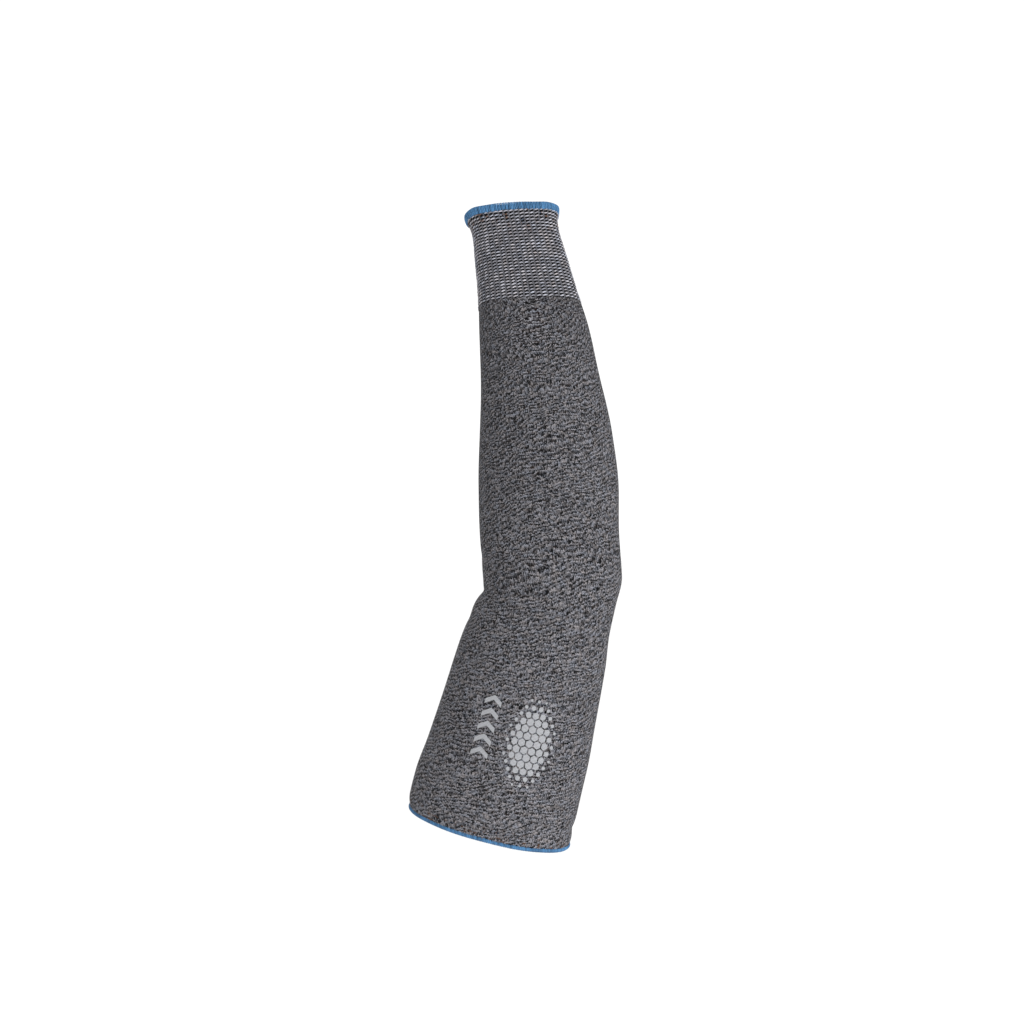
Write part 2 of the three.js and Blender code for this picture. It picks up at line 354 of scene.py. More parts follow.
# Wales are counted around the tube, and the widest are 1.8 mm wide. A course is the height of one row in mm.
# The sides and rows below them are those of the mesh.
BODY_WALL = 1.2
BODY_START = 1.0
WALES = 192
COURSE = 0.98
BODY_SIDES = 256
BODY_ROWS = 270
BODY_INNER_ROWS = 96
body = knit_wall(
    "arm_tube_knit",
    BODY_START,
    CUFF_START,
    BODY_WALL,
    BODY_SIDES,
    BODY_ROWS,
    BODY_INNER_ROWS,
    WALES,
    COURSE,
    reference=UPPER_ARM_LENGTH + FOREARM_LENGTH / 3,
)


def knit_legs(tree, wale, course):
    """The legs of plain knit, V over V up each wale: how far up its V a place is, and how high it stands."""
    from_gap = add(tree, "ShaderNodeMath", {0: wale, 1: 0.5}, operation="PINGPONG")
    slanted = add(tree, "ShaderNodeMath", {0: from_gap, 1: 1.5, 2: course}, operation="MULTIPLY_ADD")
    across = add(tree, "ShaderNodeMath", {0: wale, 1: 0.25}, operation="PINGPONG")
    along = add(tree, "ShaderNodeMath", {0: slanted, 1: 0.5}, operation="PINGPONG")
    bulge = add(tree, "ShaderNodeMath", {0: across, 1: along}, operation="MULTIPLY")
    bulge = add(tree, "ShaderNodeMath", {0: bulge, 1: 8.0}, operation="MULTIPLY")
    return slanted, add(tree, "ShaderNodeMath", {0: bulge, 1: 0.5}, operation="POWER")


def mixed(tree, share, first, second, blend="MIX"):
    """The colour that is a share of the way from the first to the second. Each is a hex code or a socket."""
    first, second = (linear_colour(c) if isinstance(c, str) else c for c in (first, second))
    mix = add(
        tree,
        "ShaderNodeMix",
        {"Factor": share, 6: first, 7: second},
        data_type="RGBA",
        blend_type=blend,
    )
    return mix.outputs[2]


def tinted(tree, colour, place, scale):
    """A yarn's colour a little bluer or browner from place to place, as the fibres in it vary."""
    lot = add(tree, "ShaderNodeTexNoise", {"Vector": place, "Scale": scale, "Detail": 1.0})
    lot = add(tree, "ShaderNodeMapRange", {"Value": lot, "From Min": 0.3, "From Max": 0.7})
    return mixed(tree, 1.0, colour, mixed(tree, lot, "#F1F6FF", "#FFF7F2"), blend="MULTIPLY")


def flecked(tree, colour, place, scale, amount):
    """A few brown and blue fibres caught in the yarn, as many as the amount from 0 to 1 lets show."""
    catch = add(tree, "ShaderNodeTexNoise", {"Vector": place, "Scale": scale, "Detail": 0.0})
    kind = add(tree, "ShaderNodeSeparateColor", {0: catch.outputs["Color"]})
    caught = add(tree, "ShaderNodeMapRange", {"Value": catch, "From Min": 0.6, "From Max": 0.68})
    caught = add(tree, "ShaderNodeMath", {0: caught, 1: amount}, operation="MULTIPLY", use_clamp=True)
    brown = add(tree, "ShaderNodeMath", {0: kind.outputs["Blue"], 1: 0.46}, operation="GREATER_THAN")
    return mixed(tree, caught, colour, mixed(tree, brown, "#323E4E", "#5E4638"))


def fibres_in(tree, place, fineness):
    """Lighter and darker fibres in a yarn. fineness is how many lie in one step of the map each way."""
    place = add(tree, "ShaderNodeVectorMath", {0: place, 1: (*fineness, 1.0)}, operation="MULTIPLY")
    return add(
        tree,
        "ShaderNodeTexNoise",
        {"Vector": place, "Scale": 1.0, "Detail": 2.0},
        noise_dimensions="2D",
    )


def with_painted_gap_shade(tree, colour, height, rise, least):
    """A colour with painted shade between the stitches: least of it stays at height 0, and rise more at 1."""
    stays = add(tree, "ShaderNodeMath", {0: height, 1: rise, 2: least}, operation="MULTIPLY_ADD")
    return add(tree, "ShaderNodeVectorMath", {0: colour, "Scale": stays}, operation="SCALE").outputs[0]


def matt_yarn(tree, shader, colour, height, relief, strength, roughness, gloss):
    """Gives the shader a yarn's colour, its relief in mm at height 1, its roughness and its gloss."""
    tree.links.new(colour, shader.inputs["Base Color"])
    bump = add(tree, "ShaderNodeBump", {"Height": height, "Distance": relief * MM, "Strength": strength})
    tree.links.new(bump.outputs[0], shader.inputs["Normal"])
    shader.inputs["Roughness"].default_value = roughness
    shader.inputs["Specular IOR Level"].default_value = gloss


# Printed marks in soft light-grey ink on the outside of the upper arm: a patch of small hexagons that dwindle
# towards its rim, and a column of chevrons beside it. Sizes are in mm, and wale and course give each middle.
WALE_STEP = 1.78
HEXAGONS = {"wale": 151.0, "course": 73.0, "width": 44.0, "height": 74.0, "cell": 5.6}
CHEVRONS = {"wale": 132.0, "course": 80.0, "width": 13.0, "count": 5, "step": 9.0, "stroke": 3.4}
INK = "#B9BBBF"
INK_COVER = 0.9


def from_middle(tree, wale, course, marks):
    """How far a place lies across and up from the middle of the marks, in mm."""
    across = add(tree, "ShaderNodeMath", {0: wale, 1: marks["wale"]}, operation="SUBTRACT")
    across = add(tree, "ShaderNodeMath", {0: across, 1: WALE_STEP}, operation="MULTIPLY")
    up = add(tree, "ShaderNodeMath", {0: course, 1: marks["course"]}, operation="SUBTRACT")
    return across, add(tree, "ShaderNodeMath", {0: up, 1: COURSE}, operation="MULTIPLY")


def hexagon_distance(tree, across, up, shift):
    """How far a place is from the nearest middle in one of the two grids that make up a honeycomb."""
    x = add(tree, "ShaderNodeMath", {0: across, 1: shift}, operation="ADD")
    x = add(tree, "ShaderNodeMath", {0: x, 1: -0.5, 2: 0.5}, operation="WRAP")
    y = add(tree, "ShaderNodeMath", {0: up, 1: shift * sqrt(3)}, operation="ADD")
    y = add(tree, "ShaderNodeMath", {0: y, 1: -sqrt(3) / 2, 2: sqrt(3) / 2}, operation="WRAP")
    x = add(tree, "ShaderNodeMath", {0: x}, operation="ABSOLUTE")
    y = add(tree, "ShaderNodeMath", {0: y}, operation="ABSOLUTE")
    slant = add(tree, "ShaderNodeMath", {0: y, 1: sqrt(3) / 2}, operation="MULTIPLY")
    slant = add(tree, "ShaderNodeMath", {0: x, 1: 0.5, 2: slant}, operation="MULTIPLY_ADD")
    return add(tree, "ShaderNodeMath", {0: x, 1: slant}, operation="MAXIMUM")


def printed_marks(tree, wale, course):
    """1 where the ink lies and 0 beside it."""
    across, up = from_middle(tree, wale, course, HEXAGONS)
    cells_across = add(tree, "ShaderNodeMath", {0: across, 1: 1 / HEXAGONS["cell"]}, operation="MULTIPLY")
    cells_up = add(tree, "ShaderNodeMath", {0: up, 1: 1 / HEXAGONS["cell"]}, operation="MULTIPLY")
    grids = [hexagon_distance(tree, cells_across, cells_up, shift) for shift in (0.0, 0.5)]
    nearest = add(tree, "ShaderNodeMath", {0: grids[0], 1: grids[1]}, operation="MINIMUM")
    width_share = add(tree, "ShaderNodeMath", {0: across, 1: 2 / HEXAGONS["width"]}, operation="MULTIPLY")
    height_share = add(tree, "ShaderNodeMath", {0: up, 1: 2 / HEXAGONS["height"]}, operation="MULTIPLY")
    rim = add(tree, "ShaderNodeCombineXYZ", {"X": width_share, "Y": height_share})
    rim = add(tree, "ShaderNodeVectorMath", {0: rim}, operation="LENGTH")
    size = add(
        tree,
        "ShaderNodeMapRange",
        {"Value": rim.outputs["Value"], "From Min": 0.5, "From Max": 1.02, "To Min": 0.42, "To Max": -0.02},
    )
    hexagons = add(tree, "ShaderNodeMath", {0: nearest, 1: size}, operation="LESS_THAN")

    across, up = from_middle(tree, wale, course, CHEVRONS)
    aside = add(tree, "ShaderNodeMath", {0: across}, operation="ABSOLUTE")
    point = add(tree, "ShaderNodeMath", {0: aside, 1: 0.6, 2: up}, operation="MULTIPLY_ADD")
    to_stroke = add(tree, "ShaderNodeMath", {0: point, 1: CHEVRONS["step"] / 2}, operation="PINGPONG")
    stroke = add(tree, "ShaderNodeMath", {0: to_stroke, 1: CHEVRONS["stroke"] / 2}, operation="LESS_THAN")
    in_width = add(tree, "ShaderNodeMath", {0: aside, 1: CHEVRONS["width"] / 2}, operation="LESS_THAN")
    from_centre = add(tree, "ShaderNodeMath", {0: point}, operation="ABSOLUTE")
    reach = CHEVRONS["count"] * CHEVRONS["step"] / 2
    in_height = add(tree, "ShaderNodeMath", {0: from_centre, 1: reach}, operation="LESS_THAN")
    chevrons = add(tree, "ShaderNodeMath", {0: stroke, 1: in_width}, operation="MULTIPLY")
    chevrons = add(tree, "ShaderNodeMath", {0: chevrons, 1: in_height}, operation="MULTIPLY")
    return add(tree, "ShaderNodeMath", {0: hexagons, 1: chevrons}, operation="MAXIMUM")


# Marled yarn in plain knit: matt fibre, its light and dark strands taking turns along each row and shifting a
# little from row to row. The eye sees short broken dashes that drift into slanting ripples. Painted shade
# darkens the knit more and more towards the cuff. The strands take turns once in so many wales, shift by a
# share of a turn from row to row, and stray by so many turns. Lightening is what each cause adds to a place's
# lightness.
YARN_DARK = "#070708"
YARN_LIGHT = "#A2A2A7"
TWIST_STITCHES = 5.2
ROW_SHIFT = -0.34
STRAYING = {"drift": 5.0, "jitter": 1.4, "chance": 0.25}
LIGHTENING = {"start": -0.3, "streak": 0.4, "chance": 0.8, "fibres": 1.1}
# Painted shade: how much lightness is taken off at the first course and at course 380, darker towards the
# cuff.
PAINTED_SHADE_TO_CUFF = {"From Max": 380.0, "To Min": 0.97, "To Max": 1.1}
EDGE_FLECKS = {"From Min": 12.0, "From Max": 1.0, "To Min": 0.12}
body_knit, tree, shader = new_material("marled yarn in plain knit")
stitches = add(tree, "ShaderNodeUVMap", uv_map="knit")
place = add(tree, "ShaderNodeSeparateXYZ", {0: stitches})
wale, course = place.outputs["X"], place.outputs["Y"]
slanted, leg_height = knit_legs(tree, wale, course)
row = add(tree, "ShaderNodeMath", {0: slanted}, operation="FLOOR")
half_wale = add(tree, "ShaderNodeMath", {0: wale, 1: 2.0}, operation="MULTIPLY")
leg_number = add(tree, "ShaderNodeMath", {0: half_wale}, operation="FLOOR")
leg = add(tree, "ShaderNodeCombineXYZ", {"X": leg_number, "Y": row})
chance = add(tree, "ShaderNodeTexWhiteNoise", {"Vector": leg}, noise_dimensions="2D").outputs["Value"]
drift = add(
    tree,
    "ShaderNodeTexNoise",
    {"Vector": stitches, "Scale": 0.04, "Detail": 2.0},
    noise_dimensions="2D",
)
jitter = add(
    tree,
    "ShaderNodeTexNoise",
    {"Vector": stitches, "Scale": 0.3, "Detail": 1.0},
    noise_dimensions="2D",
)
turns = add(tree, "ShaderNodeMath", {0: wale, 1: 1 / TWIST_STITCHES}, operation="MULTIPLY")
turns = add(tree, "ShaderNodeMath", {0: row, 1: ROW_SHIFT, 2: turns}, operation="MULTIPLY_ADD")
for cause, name in ((drift, "drift"), (jitter, "jitter"), (chance, "chance")):
    turns = add(tree, "ShaderNodeMath", {0: cause, 1: STRAYING[name], 2: turns}, operation="MULTIPLY_ADD")
angle = add(tree, "ShaderNodeMath", {0: turns, 1: 2 * pi}, operation="MULTIPLY")
strand = add(tree, "ShaderNodeMath", {0: angle}, operation="SINE")
ply = add(tree, "ShaderNodeMapRange", {"Value": strand, "From Min": -1.45, "From Max": 1.45})
streak_place = add(tree, "ShaderNodeCombineXYZ", {"X": wale, "Y": row})
streak_place = add(tree, "ShaderNodeVectorMath", {0: streak_place, 1: (0.3, 1.0, 1.0)}, operation="MULTIPLY")
streak = add(
    tree,
    "ShaderNodeTexNoise",
    {"Vector": streak_place, "Scale": 1.0, "Detail": 1.0},
    noise_dimensions="2D",
)
fibres = fibres_in(tree, add(tree, "ShaderNodeCombineXYZ", {"X": wale, "Y": slanted}), (2.2, 11.0))
shade = add(tree, "ShaderNodeMath", {0: ply, 1: LIGHTENING["start"]}, operation="ADD")
for cause, name in ((streak, "streak"), (chance, "chance"), (fibres, "fibres")):
    shade = add(tree, "ShaderNodeMath", {0: cause, 1: LIGHTENING[name], 2: shade}, operation="MULTIPLY_ADD")
# Painted shade, darker towards the cuff.
painted_shade_to_cuff = add(tree, "ShaderNodeMapRange", {"Value": course} | PAINTED_SHADE_TO_CUFF)
shade = add(tree, "ShaderNodeMath", {0: shade, 1: painted_shade_to_cuff}, operation="SUBTRACT", use_clamp=True)
yarn = tinted(tree, mixed(tree, shade, YARN_DARK, YARN_LIGHT), stitches, scale=0.3)
near_edge = add(tree, "ShaderNodeMapRange", {"Value": course} | EDGE_FLECKS)
yarn = flecked(tree, yarn, stitches, scale=0.55, amount=near_edge)
printed = printed_marks(tree, wale, course)
inked = add(tree, "ShaderNodeMath", {0: printed, 1: INK_COVER}, operation="MULTIPLY")
yarn = mixed(tree, inked, yarn, INK)
# Painted shade: the yarn is darkened in the gaps between the legs of the stitches.
yarn_with_gap_shade = with_painted_gap_shade(tree, yarn, leg_height, rise=0.72, least=0.3)
height = add(tree, "ShaderNodeMath", {0: fibres, 1: 0.25, 2: leg_height}, operation="MULTIPLY_ADD")
matt_yarn(tree, shader, yarn_with_gap_shade, height, relief=0.35, strength=0.7, roughness=0.9, gloss=0.08)
body.data.materials.append(body_knit)


def purl_side(name, dark, light, scale):
    """The inside of a knitted wall: wavy ridges of loops, row under row. scale is its stitches for each of
    the map's."""
    material, tree, shader = new_material(name)
    stitches = add(tree, "ShaderNodeUVMap", uv_map="knit")
    stitches = add(tree, "ShaderNodeVectorMath", {0: stitches, "Scale": scale}, operation="SCALE")
    place = add(tree, "ShaderNodeSeparateXYZ", {0: stitches})
    turn = add(tree, "ShaderNodeMath", {0: place.outputs["X"], 1: 2 * pi}, operation="MULTIPLY")
    wave = add(tree, "ShaderNodeMath", {0: turn}, operation="SINE")
    ridge = add(tree, "ShaderNodeMath", {0: wave, 1: 0.2, 2: place.outputs["Y"]}, operation="MULTIPLY_ADD")
    height = add(tree, "ShaderNodeMath", {0: ridge, 1: 0.5}, operation="PINGPONG")
    height = add(tree, "ShaderNodeMath", {0: height, 1: 2.0}, operation="MULTIPLY")
    height = add(tree, "ShaderNodeMath", {0: height, 1: 0.5}, operation="POWER")
    strands = add(tree, "ShaderNodeTexNoise", {"Vector": stitches, "Scale": 0.9, "Detail": 3.0})
    shade = add(tree, "ShaderNodeMapRange", {"Value": strands, "From Min": 0.35, "From Max": 0.65})
    # Painted shade: the colour is darkened in the hollows between the ridges of loops.
    yarn_with_gap_shade = with_painted_gap_shade(tree, mixed(tree, shade, dark, light), height, rise=0.6, least=0.4)
    matt_yarn(tree, shader, yarn_with_gap_shade, height, relief=0.35, strength=0.7, roughness=0.9, gloss=0.08)
    return material


body.data.materials.append(purl_side("marled yarn, purl side", YARN_DARK, YARN_LIGHT, scale=1.0))
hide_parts("arm_tube")
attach(body, "root")


# Wrist cuff
# The firm band that grips the wrist, knitted on with the tube. Its wall is black elastic thread with slim
# wales of grey yarn. The elastic draws the rows together, so that light floats bulge out over it, each over
# a dark gap. A cell is one float with the slim wale beside it, and a row is 2.3 mm high.
CUFF_WALL = 1.6
CUFF_CELLS = 52
CUFF_ROWS = 29
CUFF_ROW = 2.3
CUFF_SIDES = CUFF_CELLS * 3
CUFF_INNER_ROWS = 16
HEM_THREAD = 1.0
cuff_end = SLEEVE_LENGTH - HEM_THREAD
cuff_middle = CUFF_START + CUFF_LENGTH / 2
cuff = knit_wall(
    "wrist_cuff_knit",
    CUFF_START,
    cuff_end,
    CUFF_WALL,
    CUFF_SIDES,
    CUFF_ROWS * 3,
    CUFF_INNER_ROWS,
    CUFF_CELLS,
    CUFF_ROW,
    reference=cuff_middle,
)

# Elastic and yarn in one wall: matt black under the floats, with a slim grey wale of small Vs between each
# two columns of them. Three small wales and two small courses lie in a cell.
cuff_knit, tree, shader = new_material("elastic knitted with yarn")
stitches = add(tree, "ShaderNodeUVMap", uv_map="knit")
place = add(tree, "ShaderNodeSeparateXYZ", {0: stitches})
small_wale = add(tree, "ShaderNodeMath", {0: place.outputs["X"], 1: 3.0, 2: 0.5}, operation="MULTIPLY_ADD")
small_course = add(tree, "ShaderNodeMath", {0: place.outputs["Y"], 1: 2.0}, operation="MULTIPLY")
slanted, leg_height = knit_legs(tree, small_wale, small_course)
to_column = add(tree, "ShaderNodeMath", {0: place.outputs["X"], 1: 0.5}, operation="PINGPONG")
grey_share = add(tree, "ShaderNodeMapRange", {"Value": to_column, "From Min": 0.19, "From Max": 0.13})
fibres = fibres_in(tree, stitches, (3.0, 6.0))
light = add(tree, "ShaderNodeMapRange", {"Value": fibres, "From Min": 0.3, "From Max": 0.7})
wale_yarn = mixed(tree, light, "#28282C", "#86868C")
wall_yarn = mixed(tree, grey_share, "#08080A", wale_yarn)
# Painted shade: the wall's colour is darkened in the gaps between its small stitches.
yarn_with_gap_shade = with_painted_gap_shade(tree, wall_yarn, leg_height, rise=0.6, least=0.4)
matt_yarn(tree, shader, yarn_with_gap_shade, leg_height, relief=0.4, strength=0.8, roughness=0.9, gloss=0.05)
cuff.data.materials.append(cuff_knit)
cuff.data.materials.append(purl_side("elastic and yarn, purl side", "#0C0C0E", "#7C7C82", scale=2.0))
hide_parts("wrist_cuff")
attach(cuff, "root")


# Floats of the cuff
# Each is a loose stitch of the marled yarn, a plump lens of two twisted strands that lies along its row and
# leans up to one side. Under it lies a black one of elastic, sunk into the wall.
STITCH_SIZES = {
    "Lean": "NodeSocketFloat",
    "Unevenness": "NodeSocketFloat",
    "Seed": "NodeSocketInt",
    "Yarn": "NodeSocketMaterial",
}
FLOAT_SIZES = {
    "Length": "NodeSocketFloat",
    "Height": "NodeSocketFloat",
    "Thickness": "NodeSocketFloat",
    "Plies": "NodeSocketFloat",
    "Sides": "NodeSocketInt",
    "Rings": "NodeSocketInt",
} | STITCH_SIZES


def new_tree(name, sizes):
    """An empty Geometry Nodes tree with a host as its first input and a named input for each size."""
    tree = bpy.data.node_groups.new(name, "GeometryNodeTree")
    tree.interface.new_socket("Geometry", in_out="INPUT", socket_type="NodeSocketGeometry")
    for size, kind in sizes.items():
        tree.interface.new_socket(size, in_out="INPUT", socket_type=kind)
    tree.interface.new_socket("Geometry", in_out="OUTPUT", socket_type="NodeSocketGeometry")
    return tree, add(tree, "NodeGroupInput").outputs


SHADE_SEED = 7


def lay_stitches(tree, sizes, points, stitch, size, lean_axis):
    """Lays a stitch on each point, along its row and facing out of the knit, with small differences from one
    to the next. lean_axis is the stitch's own axis that points out of the knit."""
    row = add(tree, "GeometryNodeInputNamedAttribute", {"Name": "row"}, data_type="FLOAT_VECTOR")
    outward = add(tree, "GeometryNodeInputNamedAttribute", {"Name": "outward"}, data_type="FLOAT_VECTOR")
    facing = add(
        tree,
        "FunctionNodeAxesToRotation",
        {"Primary Axis": outward, "Secondary Axis": row},
        primary_axis=lean_axis,
        secondary_axis="X",
    )
    sway = add(tree, "FunctionNodeRandomValue", {2: -1.0, 3: 1.0, "Seed": sizes["Seed"]}, data_type="FLOAT")
    sway = add(tree, "ShaderNodeMath", {0: sway.outputs[1], 1: sizes["Unevenness"]}, operation="MULTIPLY")
    lean = add(tree, "ShaderNodeMath", {0: sway, 1: sizes["Lean"]}, operation="ADD")
    lean = add(tree, "ShaderNodeCombineXYZ", {lean_axis: lean})
    lean = add(tree, "FunctionNodeEulerToRotation", {0: lean})
    turned = add(
        tree,
        "FunctionNodeRotateRotation",
        {"Rotation": facing, "Rotate By": lean},
        rotation_space="LOCAL",
    )
    least = add(tree, "ShaderNodeMath", {0: 1.0, 1: sizes["Unevenness"]}, operation="SUBTRACT")
    most = add(tree, "ShaderNodeMath", {0: 1.0, 1: sizes["Unevenness"]}, operation="ADD")
    uneven = add(
        tree,
        "FunctionNodeRandomValue",
        {0: least, 1: most, "Seed": sizes["Seed"]},
        data_type="FLOAT_VECTOR",
    )
    scale = add(tree, "ShaderNodeVectorMath", {0: uneven, 1: size}, operation="MULTIPLY")
    laid = add(
        tree,
        "GeometryNodeInstanceOnPoints",
        {"Points": points, "Instance": stitch, "Rotation": turned, "Scale": scale},
    )
    shade = add(tree, "FunctionNodeRandomValue", {2: 0.0, 3: 1.0, "Seed": SHADE_SEED}, data_type="FLOAT")
    shaded = add(
        tree,
        "GeometryNodeStoreNamedAttribute",
        {"Geometry": laid, "Name": "shade", "Value": shade.outputs[1]},
        data_type="FLOAT",
        domain="INSTANCE",
    )
    joined = add(tree, "GeometryNodeRealizeInstances", {"Geometry": shaded})
    smooth = add(tree, "GeometryNodeSetShadeSmooth", {"Geometry": joined})
    dyed = add(tree, "GeometryNodeSetMaterial", {"Geometry": smooth, "Material": sizes["Yarn"]})
    add(tree, "NodeGroupOutput", {"Geometry": dyed})


def grown(name, host, tree, sizes):
    """The plain mesh object that a tree grows on a host, which is used up."""
    modifier = host.modifiers.new(name, "NODES")
    modifier.node_group = tree
    for socket in tree.interface.items_tree:
        if socket.in_out == "INPUT" and socket.name in sizes:
            modifier[socket.identifier] = sizes[socket.name]
    graph = bpy.context.evaluated_depsgraph_get()
    result = host.evaluated_get(graph)
    mesh = bpy.data.meshes.new_from_object(result, preserve_all_data_layers=True, depsgraph=graph)
    mesh.name = name
    bpy.data.objects.remove(host)
    return place_object(name, mesh)


TINY_TURN = 0.01
TINY_RISE = 0.4


def surface_host(name, distance, angle, depth=0.0, edges=(), rows_run=1):
    """Points on the knit, each with the directions along its row and out of the knit, for a tree to grow on.
    The rows run with the angle where rows_run is 1 and against it where it is -1."""
    distance, angle, depth = np.broadcast_arrays(distance, angle, depth)
    points = knit_surface(distance, angle, depth)
    row = knit_surface(distance, angle + TINY_TURN, depth) - knit_surface(distance, angle - TINY_TURN, depth)
    up = knit_surface(distance + TINY_RISE, angle, depth) - knit_surface(distance - TINY_RISE, angle, depth)
    mesh = bpy.data.meshes.new(name)
    mesh.from_pydata((points * MM).reshape(-1, 3).tolist(), list(edges), [])
    for attribute, vectors in (("row", row * rows_run), ("outward", np.cross(row, up))):
        vectors = vectors / np.linalg.norm(vectors, axis=-1, keepdims=True)
        made = mesh.attributes.new(attribute, "FLOAT_VECTOR", "POINT")
        made.data.foreach_set("vector", vectors.reshape(-1).astype(np.float32))
    return place_object(name, mesh)


CELL_MARGIN = 0.06


def lay_out_maps(mesh, stitch_map, count, columns):
    """Gives each of the mesh's equal stitches a cell of its own in the baked picture. stitch_map holds the
    place of each face corner on its own stitch, from 0 to 1 each way."""
    rows = ceil(count / columns)
    stitch = np.arange(count)
    cell = np.stack([stitch % columns, stitch // columns], -1)
    own = CELL_MARGIN + (1 - 2 * CELL_MARGIN) * np.clip(stitch_map.reshape(count, -1, 2), 0, 1)
    placed = (cell[:, None] + own) / (columns, rows)
    layer = mesh.uv_layers.new(name="OFBake")
    layer.data.foreach_set("uv", placed.reshape(-1).astype(np.float32))


FLOAT_TWIST = 1.5 * pi


def float_tree():
    """Lays a lens-shaped stitch of two twisted strands on each point of the host."""
    tree, sizes = new_tree("floats along the rows", FLOAT_SIZES)
    ball = add(
        tree,
        "GeometryNodeMeshUVSphere",
        {"Segments": sizes["Sides"], "Rings": sizes["Rings"], "Radius": 0.5},
    )
    mapped = add(
        tree,
        "GeometryNodeStoreNamedAttribute",
        {"Geometry": ball, "Name": "thread", "Value": ball.outputs["UV Map"]},
        data_type="FLOAT2",
        domain="CORNER",
    )
    place = add(tree, "ShaderNodeSeparateXYZ", {0: add(tree, "GeometryNodeInputPosition")})
    around = add(tree, "ShaderNodeMath", {0: place.outputs["Y"], 1: place.outputs["X"]}, operation="ARCTAN2")
    twist = {0: place.outputs["Z"], 1: FLOAT_TWIST, 2: around}
    twist = add(tree, "ShaderNodeMath", twist, operation="MULTIPLY_ADD")
    twist = add(tree, "ShaderNodeMath", {0: twist, 1: 2.0}, operation="MULTIPLY")
    strand = add(tree, "ShaderNodeMath", {0: twist}, operation="COSINE")
    marked = add(
        tree,
        "GeometryNodeStoreNamedAttribute",
        {"Geometry": mapped, "Name": "strand", "Value": strand},
        data_type="FLOAT",
        domain="POINT",
    )
    swell = add(tree, "ShaderNodeMath", {0: strand, 1: sizes["Plies"], 2: 1.0}, operation="MULTIPLY_ADD")
    swell = add(tree, "ShaderNodeCombineXYZ", {"X": swell, "Y": swell, "Z": 1.0})
    swollen = add(tree, "GeometryNodeInputPosition")
    swollen = add(tree, "ShaderNodeVectorMath", {0: swollen, 1: swell}, operation="MULTIPLY")
    plied = add(tree, "GeometryNodeSetPosition", {"Geometry": marked, "Position": swollen})
    lying = add(tree, "GeometryNodeTransform", {"Geometry": plied, "Rotation": (0, radians(90), 0)})
    size = {"X": sizes["Length"], "Y": sizes["Height"], "Z": sizes["Thickness"]}
    size = add(tree, "ShaderNodeCombineXYZ", size)
    lay_stitches(tree, sizes, sizes["Geometry"], lying, size, "Z")
    return tree


# Float of marled yarn: matt grey that varies from float to float, one strand lighter than the other. Tints
# and flecks are so many to the metre, 6 and 4.5 mm apart, and most flecks lie near the rim, by height in m.
TINTS = 160.0
FLECKS = 220.0
RIM_FLECKS = {"From Min": 0.412, "From Max": 0.43, "To Min": 0.1}
float_yarn, tree, shader = new_material("float of marled yarn")
strand = add(tree, "ShaderNodeAttribute", attribute_name="strand")
thread = add(tree, "ShaderNodeUVMap", uv_map="thread")
fibres = fibres_in(tree, thread, (14.0, 5.0))
shade = add(tree, "ShaderNodeAttribute", attribute_name="shade")
share = add(tree, "ShaderNodeMath", {0: strand.outputs["Fac"], 1: 0.16, 2: 0.02}, operation="MULTIPLY_ADD")
share = add(tree, "ShaderNodeMath", {0: shade.outputs["Fac"], 1: 0.5, 2: share}, operation="MULTIPLY_ADD")
share = add(tree, "ShaderNodeMath", {0: fibres, 1: 0.5, 2: share}, operation="MULTIPLY_ADD", use_clamp=True)
coordinates = add(tree, "ShaderNodeTexCoord").outputs["Object"]
yarn = tinted(tree, mixed(tree, share, "#3C3C41", "#BDBDC3"), coordinates, scale=TINTS)
height = add(tree, "ShaderNodeSeparateXYZ", {0: coordinates}).outputs["Z"]
near_rim = add(tree, "ShaderNodeMapRange", {"Value": height} | RIM_FLECKS)
yarn = flecked(tree, yarn, coordinates, scale=FLECKS, amount=near_rim)
matt_yarn(tree, shader, yarn, fibres, relief=0.12, strength=0.6, roughness=0.85, gloss=0.25)

# Black elastic: a smooth covered thread, a little glossier than the yarn, with fine ribs round it.
elastic, tree, shader = new_material("black covered elastic")
thread = add(tree, "ShaderNodeUVMap", uv_map="thread")
ribs = add(
    tree,
    "ShaderNodeTexWave",
    {"Vector": thread, "Scale": 3.0, "Distortion": 1.0},
    bands_direction="Y",
)
tree.links.new(mixed(tree, ribs.outputs["Fac"], "#040405", "#0C0C0E"), shader.inputs["Base Color"])
shader.inputs["Roughness"].default_value = 0.6
shader.inputs["Specular IOR Level"].default_value = 0.08

FIRST_FLOAT = 0.7
float_middles = even_angles(CUFF_CELLS * 2, cuff_middle)[1::2]
float_rows = CUFF_START + FIRST_FLOAT + CUFF_ROW * np.arange(CUFF_ROWS)
floats_on_rows = float_tree()
float_kinds = [
    {
        "name": "cuff_floats",
        "above_row": 0.0,
        "sunk": 0.1,
        "sizes": {
            "Length": 3.2 * MM,
            "Height": 1.15 * MM,
            "Thickness": 1.4 * MM,
            "Plies": 0.1,
            "Lean": radians(12),
            "Unevenness": 0.16,
            "Sides": 8,
            "Rings": 7,
            "Seed": 3,
            "Yarn": float_yarn,
        },
    },
    {
        "name": "cuff_elastic",
        "above_row": -CUFF_ROW / 2,
        "sunk": 0.3,
        "sizes": {
            "Length": 3.2 * MM,
            "Height": 1.3 * MM,
            "Thickness": 1.0 * MM,
            "Plies": 0.0,
            "Lean": radians(12),
            "Unevenness": 0.14,
            "Sides": 6,
            "Rings": 4,
            "Seed": 5,
            "Yarn": elastic,
        },
    },
]
for kind in float_kinds:
    distance = (float_rows + kind["above_row"])[:, None]
    host = surface_host("float places", distance, float_middles[None, :], kind["sunk"])
    threads = grown(kind["name"], host, floats_on_rows, kind["sizes"])
    on_stitch = np.empty(len(threads.data.loops) * 2, np.float32)
    threads.data.uv_layers["thread"].data.foreach_get("uv", on_stitch)
    lay_out_maps(threads.data, on_stitch, CUFF_CELLS * CUFF_ROWS, CUFF_CELLS)
    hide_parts("wrist_cuff")
    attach(threads, "root")


